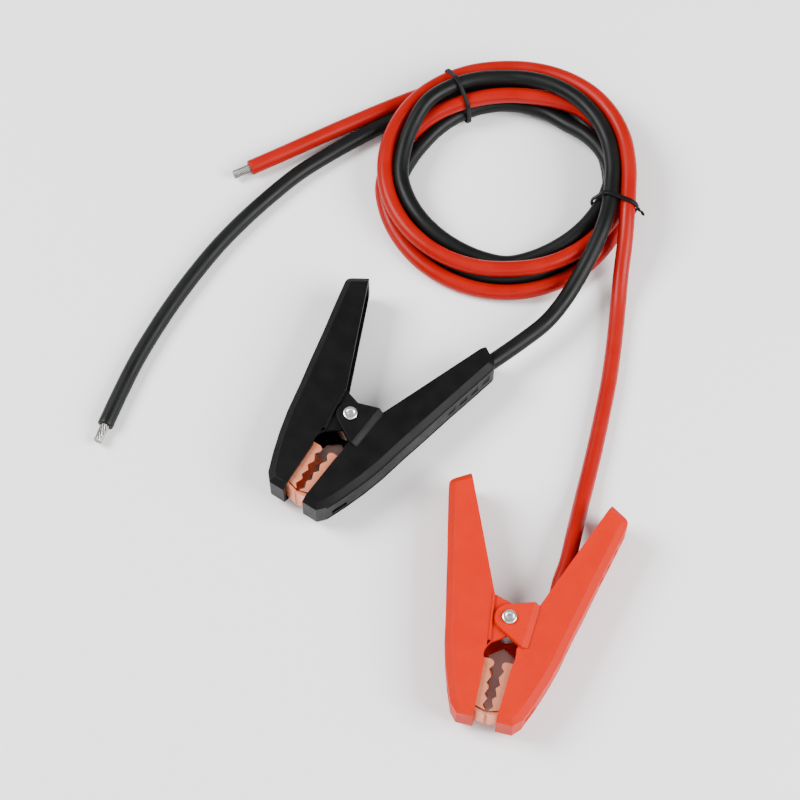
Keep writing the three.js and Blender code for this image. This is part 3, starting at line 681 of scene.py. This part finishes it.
@dataclass
class Clamp:
    """One sprung alligator clamp: two levers, two jaws, a rivet and a torsion spring."""

    pole: Pole
    origin: Array
    lever_bevel: float = 0.00025
    jaw_bevel: float = 0.00008
    rivet_top: float = 0.01289
    rivet_seat: float = 0.01179
    head_radius: float = 0.00345
    seat_radius: float = 0.00315
    roll_width: float = 0.0009
    roll_height: float = 0.0005
    dish: tuple[Pair, ...] = ((0.00162, 0.00052), (0.0011, 0.00046), (0.0004, 0.0003))
    shaft_radius: float = 0.0022
    wire: float = 0.002
    mean_radius: float = 0.0061
    turns: int = 5
    spring_half_height: float = 0.0059
    leg_x: float = 0.03327
    leg_y: float = 0.030
    blend_width: float = 0.012

    @property
    def body(self) -> str:
        """The body that the free side of this clamp moves with."""
        return f"{self.pole.value}_free_side"

    @property
    def plastic(self) -> Finish:
        """The insulation's finish."""
        return BLACK_PLASTIC if self.pole is Pole.BLACK else RED_PLASTIC

    def world(self, points: Array) -> Array:
        """Turn and move points of the clamp's own frame to where the clamp lies."""
        place = PLACES[self.pole]
        a = math.radians(place.turn)
        turn = np.array([[math.cos(a), math.sin(a), 0], [-math.sin(a), math.cos(a), 0], [0, 0, 1]])
        shift = self.origin + np.array([place.rivet[0], place.rivet[1], place.height])
        return points @ turn + shift

    def levers(self, shop: Workshop) -> None:
        """Both insulated levers, with their edges rounded."""
        for side, body in (("cable", ROOT_BODY), ("free", self.body)):
            node = f"{self.pole.value}_{side}_lever"
            piece = finer_copy(node, f"{self.pole.value}_{side}_side_insulation", self.lever_bevel)
            shop.dress(piece, self.plastic, node, body)

    def jaws(self, shop: Workshop) -> None:
        """Both toothed sheet jaws, with their cut edges rounded."""
        for side, body in (("cable", ROOT_BODY), ("free", self.body)):
            node = f"{self.pole.value}_{side}_jaw"
            piece = finer_copy(node, f"{self.pole.value}_{side}_side_toothed_sheet", self.jaw_bevel)
            shop.dress(piece, COPPER, node, body)

    def rivet(self, shop: Workshop) -> None:
        """The rivet: a profile turned about its axis, with a rolled rim round a dished middle.

        The rim is part of an ellipse; the dish is given by radius and depth below the top.
        """
        roll = np.linspace(-0.42 * math.pi, 0.86 * math.pi, 14)
        rolled = np.stack(
            [
                self.head_radius - self.roll_width * (1 - np.cos(roll)),
                self.rivet_top - self.roll_height * (1 - np.sin(roll)),
            ],
            axis=1,
        )
        dish = np.array([0.0, self.rivet_top]) + np.array(self.dish) * [1, -1]
        seat = [[self.shaft_radius, self.rivet_seat], [self.seat_radius, self.rivet_seat]]
        upper = np.vstack([seat, rolled, dish])
        profile = np.vstack([upper[::-1] * [1, -1], upper])
        heights = np.broadcast_to(profile[:, None, 1:], (len(profile), RIVET_SIDES, 1))
        rings = profile[:, None, :1] * circle(RIVET_SIDES)[None, :, :]
        points = np.concatenate([rings, heights], axis=2)
        name = f"{self.pole.value}_rivet_with_rolled_heads"
        faces = grid_faces(len(profile), RIVET_SIDES, False)
        piece = add_piece(name, self.world(points.reshape(-1, 3)), faces, 40)
        shop.dress(piece, RIVET_STEEL, f"{self.pole.value}_rivet", ROOT_BODY)

    def spring(self, shop: Workshop) -> None:
        """The torsion spring: a round wire on a helix, with a straight leg into each handle.

        The helix turns evenly as it rises; each leg leaves it along the tangent that meets
        the inside of its handle.
        """
        reach = math.hypot(self.leg_x, self.leg_y)
        angle = math.atan2(self.leg_y, self.leg_x) - math.asin(self.mean_radius / reach)
        start = 1.5 * math.pi - angle
        sweep_angle = 2 * math.pi * (self.turns + 1) - (start - angle + math.pi / 2)
        share = np.linspace(0.0, 1.0, STEPS_A_TURN * self.turns + 1)
        turn = start + sweep_angle * share
        helix = np.stack(
            [
                self.mean_radius * np.cos(turn),
                self.mean_radius * np.sin(turn),
                self.spring_half_height * (2 * share - 1),
            ],
            axis=1,
        )
        low = np.array([[-self.leg_x, self.leg_y, -self.spring_half_height]])
        high = np.array([[self.leg_x, self.leg_y, self.spring_half_height]])
        along = np.linspace(0, 1, LEG_STEPS)[:, None]
        first = low + (helix[0] - low) * along[:-1]
        last = helix[-1] + (high - helix[-1]) * along[1:]
        path = np.vstack([first, helix, last])
        surface = sweep(path, circle(WIRE_SIDES)[None] * self.wire / 2)
        faces = grid_faces(len(path), WIRE_SIDES, False)
        name = f"{self.pole.value}_coiled_spring"
        piece = add_piece(name, self.world(surface.reshape(-1, 3)), faces, 50)
        shop.dress(piece, SPRING_STEEL, f"{self.pole.value}_spring", None)
        half = self.blend_width / 2
        across = self.world(np.array([[half, 0.0, 0.0], [-half, 0.0, 0.0]]))
        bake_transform(piece)

    def build(self, shop: Workshop) -> None:
        """Make every piece of the clamp."""
        self.levers(shop)
        self.jaws(shop)
        self.rivet(shop)
        self.spring(shop)


# Cables

RED_LANES = (
    (63.2, 4), (63, 4), (62.8, 4), (62.5, 4),
    (62.3, 4), (62.6, 4), (62.9, 4), (63.2, 4),
    (63.5, 4), (63.5, 4), (63.4, 4), (63.3, 4),
    (63.2, 4), (57.5, 6.5), (51.5, 11.2), (47.5, 12.3),
    (46.8, 12.4), (48.8, 12.5), (54.6, 12.4), (58.6, 12.4),
    (62.3, 12.4), (60.1, 12.4), (57.5, 12.4), (55.6, 12.4),
    (54.6, 12.4), (56, 12.4), (58, 12.4), (60.2, 12.4),
    (62.2, 12.4), (63.4, 12.6), (63.8, 13.2), (63.6, 12.7),
    (63.4, 12.4), (63.3, 15), (63.2, 18.2), (62.7, 20.2),
    (62.3, 20.8),
)
BLACK_LANES = (
    (54.9, 4), (54.7, 4), (54.5, 4), (54.2, 4),
    (54, 4), (54.3, 4), (54.6, 4), (54.9, 4),
    (55.2, 4), (55.1, 4), (55, 4), (54.9, 4),
    (54.9, 4), (49.4, 4), (47.2, 4), (46.6, 4),
    (46.6, 4), (46.4, 4.3), (46.1, 6.4), (49.9, 11.2),
    (54, 12.4), (51.3, 12.1), (48.7, 10.1), (46.8, 6.6),
    (46.9, 4), (46.7, 6.6), (48.6, 10.1), (51.2, 12.1),
    (53.9, 12.6), (54.4, 15.2), (56.7, 18.2), (56.1, 17.4),
    (54.9, 16.8), (54.5, 19.3), (54.4, 20.7), (54.2, 20.9),
    (54, 20.8),
)


@dataclass(frozen=True)
class Coil:
    """How both cables are wound: clockwise from the top, on lanes given by radius and height."""

    centre: Pair = (0.0544, 0.1216)
    lift_heading: float = 52.0
    lane_step: float = 22.5
    station_step: float = 15.0
    first_angle: float = 90.0
    tie_angles: Pair = (116.0, -20.0)
    tie_under: float = 0.0018

    def lift(self, angle: Array) -> Array:
        """How far the coil is raised at an angle, because the ties pass under it."""
        share = (1 + np.cos(np.radians(np.asarray(angle) - self.lift_heading))) / 2
        least = min((1 + math.cos(math.radians(a - self.lift_heading))) / 2 for a in self.tie_angles)
        return self.tie_under / least * share

    def stations(self, lanes: tuple[Pair, ...]) -> Array:
        """Points of one cable's turns.

        Radius and height at each angle come from the cubic through the four nearest lanes.

        Args:
            lanes: radius and height in millimetres at every lane step.

        Returns:
            The stations in the layout, one row each.
        """
        table = np.array(lanes, float) * MM
        padded = np.vstack([table[:1], table, table[-1:], table[-1:]])
        span = self.lane_step * (len(lanes) - 1)
        angle = self.first_angle - np.arange(0.0, span + 0.001, self.station_step)
        place = (self.first_angle - angle) / self.lane_step
        index = np.minimum(place.astype(int), len(lanes) - 1)
        t = (place - index)[:, None]
        p0, p1, p2, p3 = (padded[index + k] for k in range(4))
        low = (p2 - p0) / 2
        high = (p3 - p1) / 2
        lane = p1 + t * (low + t * (3 * (p2 - p1) - 2 * low - high + t * (2 * (p1 - p2) + low + high)))
        a = np.radians(angle)
        return np.stack(
            [
                self.centre[0] + lane[:, 0] * np.cos(a),
                self.centre[1] + lane[:, 0] * np.sin(a),
                lane[:, 1] + self.lift(angle),
            ],
            axis=1,
        )


COIL = Coil()


@dataclass
class Cable:
    """One jacketed cable from the crimp in its clamp, through the coil, to its bare end."""

    pole: Pole
    origin: Array
    free: tuple[tuple[float, float, float], ...]
    out: tuple[tuple[float, float, float], ...]
    in_lever: tuple[Pair, ...]
    lanes: tuple[Pair, ...]
    diameter: float = 0.008
    bore: float = 0.0049
    recess: float = 0.0016
    edge_round: float = 0.0004
    sides: int = 32
    spacing: float = 0.0022

    def route(self) -> Array:
        """Stations from the bare end to the crimp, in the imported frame."""
        place = PLACES[self.pole]
        inside = np.array([place.at(x, y) for x, y in self.in_lever])
        parts = [np.array(self.free), COIL.stations(self.lanes), np.array(self.out), inside]
        return np.vstack(parts) + self.origin

    def build(self, shop: Workshop, tinned: bpy.types.Object) -> None:
        """The jacket: a round section carried along the route, with a bore at its cut end.

        Near the cut the section starts inside the bore, comes out to the cut face and rounds
        over to the full radius.
        """
        path = smooth_path(self.route(), self.spacing)
        full = self.diameter / 2
        path[:, 2] = np.maximum(path[:, 2], full)
        bore = self.bore / 2
        rounding = self.edge_round
        corner = rounding / 2
        near = [
            (self.recess, bore), (corner, bore), (0.0, bore + corner),
            (0.0, full - rounding), (rounding * 0.3, full - rounding * 0.3), (rounding, full),
        ]
        along = lengths_along(path)
        lip = np.array(near)
        first_step = path[1] - path[0]
        lip_path = path[:1] + first_step / np.linalg.norm(first_step) * lip[:, :1]
        rest = path[along > 2 * rounding]
        stations = np.vstack([lip_path, rest])
        radii = np.concatenate([lip[:, 1], np.full(len(rest), full)])
        lip_spine = path[:1] + first_step * np.linspace(0, 0.3, len(lip))[:, None]
        spine = np.vstack([lip_spine, rest])
        shape = sweep(spine, circle(self.sides)[None] * radii[:, None, None])
        surface = shape - spine[:, None, :] + stations[:, None, :]
        name = f"{self.pole.value}_jacketed_cable"
        faces = grid_faces(len(stations), self.sides, False)
        piece = add_piece(name, surface.reshape(-1, 3), faces, 45)
        finish = BLACK_JACKET if self.pole is Pole.BLACK else RED_JACKET
        shop.dress(piece, finish, f"{self.pole.value}_cable", ROOT_BODY)


@dataclass
class TinnedEnd:
    """The bare end of a conductor: tinned strands twisted together."""

    pole: Pole
    route: Array
    diameter: float = 0.0046
    length: float = 0.0093
    inside: float = 0.0014
    strands: int = 11
    lay_length: float = 0.034
    groove: float = 0.24
    tip_depth: float = 0.0004
    wave: float = 0.03
    wave_turn: float = 700.0
    lump: float = 0.00022

    def build(self, shop: Workshop) -> bpy.types.Object:
        """Make the strands as one lobed surface.

        The radius dips between the strands as the power of a cosine, the pattern turns along
        the end by one turn per lay length, and the last rings draw in to a lumpy cut face.

        Args:
            shop: what dresses the piece.

        Returns:
            The new piece.
        """
        heading = self.route[0] - self.route[1]
        heading /= np.linalg.norm(heading)
        shoulder = self.length - self.tip_depth
        body = np.linspace(-self.inside, shoulder, END_RINGS)
        tip = shoulder + self.tip_depth * np.sin(np.linspace(0.2, 1.0, TIP_RINGS) * math.pi / 2)
        along = np.concatenate([body, tip])
        drawn_in = np.cos(np.linspace(0.05, 0.93, TIP_RINGS) * math.pi / 2) ** 0.7
        draw = np.concatenate([np.ones(END_RINGS), drawn_in])
        around = np.arange(STRAND_STEPS) * 2 * math.pi / STRAND_STEPS
        phase = self.strands * (around[None, :] - 2 * math.pi * along[:, None] / self.lay_length)
        lobe = np.abs(np.cos(phase / 2)) ** 0.55
        wave = np.sin(2 * around[None, :] + along[:, None] * self.wave_turn)
        uneven = (1 + self.wave * wave) / (1 + self.wave)
        radius = self.diameter / 2 * (1 - self.groove * (1 - lobe)) * uneven * draw[:, None]
        lumpy = self.lump * np.cos(3 * around + 0.8) * np.sin(2 * around)
        depth = along[:, None] + (draw[:, None] < 0.999) * lumpy[None, :]
        spine = self.route[0][None, :] + heading[None, :] * along[:, None]
        section = np.stack([radius * np.cos(around), radius * np.sin(around)], axis=2)
        surface = sweep(spine, section) + (depth - along[:, None])[..., None] * heading[None, None, :]
        name = f"{self.pole.value}_twisted_tinned_strands"
        faces = grid_faces(len(along), STRAND_STEPS, False)
        piece = add_piece(name, surface.reshape(-1, 3), faces, 38)
        shop.dress(piece, TINNED_WIRE, f"{self.pole.value}_tinned_end", ROOT_BODY)
        return piece


@dataclass
class Tie:
    """A coated wire tie drawn round the bundle, its two ends twisted together outside."""

    name: str
    node: str
    angle: float
    origin: Array
    routes: list[Array]
    width: float = 0.0022
    thickness: float = 0.0012
    clearance: float = 0.0005
    strand_radius: float = 0.004
    reach: float = 0.080
    step: float = 0.0006
    squareness: float = 0.55
    tail: float = 0.0046
    tail_root: float = 0.0006
    tail_wind: float = 0.00048
    tail_wire: float = 0.0004992
    tail_pitch: float = 0.0048
    tail_droop: float = 0.25
    tail_sweep: float = 0.5

    def crossings(self) -> Array:
        """Where the cables cross the tie's upright plane, as distance out and height."""
        a = math.radians(self.angle)
        found = []
        for route in self.routes:
            x = route[:, 0] - self.origin[0] - COIL.centre[0]
            y = route[:, 1] - self.origin[1] - COIL.centre[1]
            out = x * math.cos(a) + y * math.sin(a)
            past = y * math.cos(a) - x * math.sin(a)
            share = past[:-1] / (past[:-1] - past[1:])
            radius = out[:-1] + share * np.diff(out)
            height = route[:-1, 2] + share * np.diff(route[:, 2])
            crossed = (past[:-1] * past[1:] <= 0) & (radius > 0) & (radius < self.reach)
            found.append(np.stack([radius[crossed], height[crossed]], axis=1))
        return np.vstack(found)

    def outline(self, distance: float) -> Array:
        """The tight line round the crossings at a distance from their centres.

        For each direction it is the crossing that lies furthest that way, plus the distance
        that way; the corners between are joined by straight lines.

        Args:
            distance: how far the line stays from the centres.

        Returns:
            Points of the line in the tie's plane, equally spaced.
        """
        centres = self.crossings()
        way = circle(OUTLINE_WAYS)
        furthest = np.argmax(way @ centres.T, axis=1)
        line = centres[furthest] + way * distance
        closed = np.vstack([line, line[:1]])
        flat = np.column_stack([closed, np.zeros(len(closed))])
        return even(flat, self.step)[:-1, :2]

    def to_world(self, plane: Array, across: Array) -> Array:
        """Place points given by distance out, height and distance across the tie's plane."""
        a = math.radians(self.angle)
        out = np.array([math.cos(a), math.sin(a), 0.0])
        along = np.array([-math.sin(a), math.cos(a), 0.0])
        centre = self.origin + np.array([COIL.centre[0], COIL.centre[1], 0.0])
        up = np.array([0.0, 0.0, 1.0])
        return centre + plane[..., :1] * out + plane[..., 1:] * up + across[..., None] * along

    def band(self) -> bpy.types.Object:
        """The band: a flat rounded section carried along the tight outline."""
        line = self.outline(self.strand_radius + self.clearance + self.thickness / 2)
        tangent = np.roll(line, -1, axis=0) - np.roll(line, 1, axis=0)
        tangent /= np.linalg.norm(tangent, axis=1, keepdims=True)
        normal = np.stack([tangent[:, 1], -tangent[:, 0]], axis=1)
        turn = circle(BAND_SIDES)
        squared = np.sign(turn) * np.abs(turn) ** self.squareness
        plane = line[:, None, :] + normal[:, None, :] * (squared[None, :, :1] * self.thickness / 2)
        across = np.broadcast_to(squared[None, :, 1] * self.width / 2, plane.shape[:2])
        points = self.to_world(plane, across)
        return add_piece(self.name, points.reshape(-1, 3), grid_faces(len(line), BAND_SIDES, True), 60)

    def twisted_tail(self) -> bpy.types.Object:
        """The tail: two round wires wound round each other on a line that leans down and back."""
        line = self.outline(self.strand_radius + self.clearance + self.thickness / 2)
        start = line[np.argmax(line[:, 0])]
        run = np.linspace(-self.tail_root, self.tail, TAIL_STEPS)
        middle = start[1] - self.tail_droop * run[:, None]
        phase = 2 * math.pi * run / self.tail_pitch
        ring = circle(TAIL_SIDES) * self.tail_wire
        wire_faces = grid_faces(TAIL_STEPS, TAIL_SIDES, False)
        points = []
        faces: list[list[int]] = []
        for side in (0.0, math.pi):
            wind = self.tail_wind * np.stack([np.cos(phase + side), np.sin(phase + side)], axis=1)
            plane = np.empty((TAIL_STEPS, TAIL_SIDES, 2))
            plane[..., 0] = start[0] + run[:, None]
            plane[..., 1] = middle + wind[:, :1] + ring[None, :, 0]
            across = wind[:, 1:] + ring[None, :, 1] - self.tail_sweep * run[:, None]
            shift = sum(len(part) for part in points)
            points.append(self.to_world(plane, across).reshape(-1, 3))
            faces += [[corner + shift for corner in face] for face in wire_faces]
        return add_piece(f"{self.name}_twisted_tail", np.vstack(points), faces, 60)

    def build(self, shop: Workshop) -> None:
        """Make the band and its tail, and let them stand for the tie."""
        band = self.band()
        shop.dress(band, TIE_PLASTIC, self.node, ROOT_BODY)
        tail = self.twisted_tail()
        shop.dress(tail, TIE_PLASTIC, self.node, ROOT_BODY)


# Studio


@dataclass
class Studio:
    """Pale floor, soft lights and the camera at the photograph's angle."""

    origin: Array
    elevation: float = 65.0
    distance: float = 1.194
    lens: float = 108.0
    surround: float = 0.4
    floor_half: float = 6.0
    floor_drop: float = 0.0002

    def floor(self) -> None:
        """A pale floor under everything."""
        square = np.array([[-1, -1], [1, -1], [1, 1], [-1, 1]]) * self.floor_half
        corners = np.column_stack([square, np.full(4, -self.floor_drop)])
        mesh = bpy.data.meshes.new("pale_floor")
        mesh.from_pydata(corners.tolist(), [], [[0, 1, 2, 3]])
        plane = bpy.data.objects.new("pale_floor", mesh)
        bpy.context.scene.collection.objects.link(plane)
        paint = bpy.data.materials.new("pale_floor")
        paint.use_nodes = True
        shader = paint.node_tree.nodes["Principled BSDF"]
        shader.inputs["Base Color"].default_value = (0.95, 0.95, 0.95, 1.0)
        shader.inputs["Roughness"].default_value = 0.7
        shader.inputs["Specular IOR Level"].default_value = 0.2
        mesh.materials.append(paint)

    def light(self, name: str, place: Colour, size: float, power: float) -> None:
        """A square soft light that looks at the middle of the set.

        Args:
            name: the light's name.
            place: where it stands, from the layout's origin.
            size: its side length.
            power: its power in watts.
        """
        lamp = bpy.data.lights.new(name, "AREA")
        lamp.shape = "SQUARE"
        lamp.size = size
        lamp.energy = power
        stand = bpy.data.objects.new(name, lamp)
        stand.location = Vector(self.origin.tolist()) + Vector(place)
        stand.rotation_euler = (-Vector(place)).to_track_quat("-Z", "Y").to_euler()
        bpy.context.scene.collection.objects.link(stand)

    def world(self) -> None:
        """An even pale surrounding."""
        world = bpy.data.worlds.new("pale surrounding")
        world.use_nodes = True
        background = world.node_tree.nodes["Background"]
        background.inputs["Color"].default_value = (1.0, 1.0, 1.0, 1.0)
        background.inputs["Strength"].default_value = self.surround
        bpy.context.scene.world = world

    def camera(self) -> None:
        """The camera: level, looking down on the layout's origin at the photograph's angle."""
        lens = bpy.data.cameras.new("photo_camera")
        lens.lens = self.lens
        lens.clip_start = 0.01
        camera = bpy.data.objects.new("photo_camera", lens)
        rise = math.radians(self.elevation)
        back = Vector((0.0, -math.cos(rise), math.sin(rise))) * self.distance
        camera.location = Vector(self.origin.tolist()) + back
        camera.rotation_euler = (math.pi / 2 - rise, 0.0, 0.0)
        bpy.context.scene.collection.objects.link(camera)
        bpy.context.scene.camera = camera

    def build(self) -> None:
        """Set up the floor, the surrounding, the lights and the camera."""
        self.floor()
        self.world()
        self.light("key_light", (-1.3, 0.35, 1.4), 0.9, 62.0)
        self.light("fill_light", (1.4, -0.5, 1.1), 1.2, 66.0)
        self.light("front_light", (-0.2, -1.5, 1.0), 1.4, 12.0)
        self.camera()


RED_FREE = (
    (-0.0779, 0.131, 0.004), (-0.0604, 0.1399, 0.004), (-0.0433, 0.1489, 0.004),
    (-0.0263, 0.1576, 0.004), (-0.0089, 0.166, 0.0043), (0.008, 0.1732, 0.0052),
    (0.0255, 0.1789, 0.0061), (0.0393, 0.183, 0.0062),
)
BLACK_FREE = (
    (-0.1455, -0.0158, 0.004), (-0.1388, 0.0022, 0.004), (-0.1316, 0.0198, 0.004),
    (-0.1232, 0.0369, 0.004), (-0.1139, 0.0536, 0.004), (-0.1038, 0.0696, 0.004),
    (-0.0926, 0.0855, 0.004), (-0.0802, 0.1004, 0.004), (-0.0668, 0.1144, 0.004),
    (-0.0528, 0.1275, 0.004), (-0.0373, 0.1389, 0.004), (-0.021, 0.1496, 0.004),
    (-0.005, 0.1586, 0.0043), (0.011, 0.1653, 0.0052), (0.0265, 0.1706, 0.0061),
    (0.04, 0.1749, 0.0062),
)
RED_OUT = (
    (0.1162, 0.108, 0.022), (0.1152, 0.096, 0.0208), (0.1139, 0.082, 0.0165),
    (0.1117, 0.066, 0.0092), (0.1102, 0.052, 0.005), (0.1085, 0.038, 0.004),
    (0.1063, 0.0226, 0.004), (0.1034, 0.006, 0.004), (0.0999, -0.01, 0.004),
    (0.0962, -0.026, 0.004), (0.0924, -0.0412, 0.004), (0.089, -0.054, 0.005),
    (0.086, -0.066, 0.008), (0.0832, -0.0775, 0.0115),
)
BLACK_OUT = (
    (0.1077, 0.1105, 0.0224), (0.106, 0.0986, 0.0223), (0.1023, 0.086, 0.0219),
    (0.0966, 0.073, 0.0196), (0.0899, 0.0609, 0.0162), (0.0823, 0.0486, 0.0138),
    (0.0729, 0.0368, 0.0129), (0.0613, 0.0268, 0.0129),
)
RED_IN_LEVER = ((0.0199, 0.038), (0.0189, 0.027), (0.0193, 0.0165), (0.0209, 0.0065), (0.0195, -0.003))
BLACK_IN_LEVER = (
    (0.0409, 0.0696), (0.0364, 0.0575), (0.0326, 0.0448),
    (0.029, 0.031), (0.025, 0.0185), (0.0209, 0.0065), (0.0195, -0.003),
)


def main() -> None:
    """Build the set in order."""
    logging.basicConfig(level=logging.INFO, format="%(message)s")
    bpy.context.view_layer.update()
    origin = layout_origin()
    shop = Workshop()
    Studio(origin).build()
    red = Cable(Pole.RED, origin, RED_FREE, RED_OUT, RED_IN_LEVER, RED_LANES)
    black = Cable(Pole.BLACK, origin, BLACK_FREE, BLACK_OUT, BLACK_IN_LEVER, BLACK_LANES)
    for cable in (red, black):
        tinned = TinnedEnd(cable.pole, cable.route()).build(shop)
        cable.build(shop, tinned)
    routes = [red.route(), black.route()]
    Tie("upper_coated_tie", "upper_tie", COIL.tie_angles[0], origin, routes).build(shop)
    Tie("right_coated_tie", "right_tie", COIL.tie_angles[1], origin, routes).build(shop)
    for pole in Pole:
        Clamp(pole, origin).build(shop)


if __name__ == "__main__":
    main()
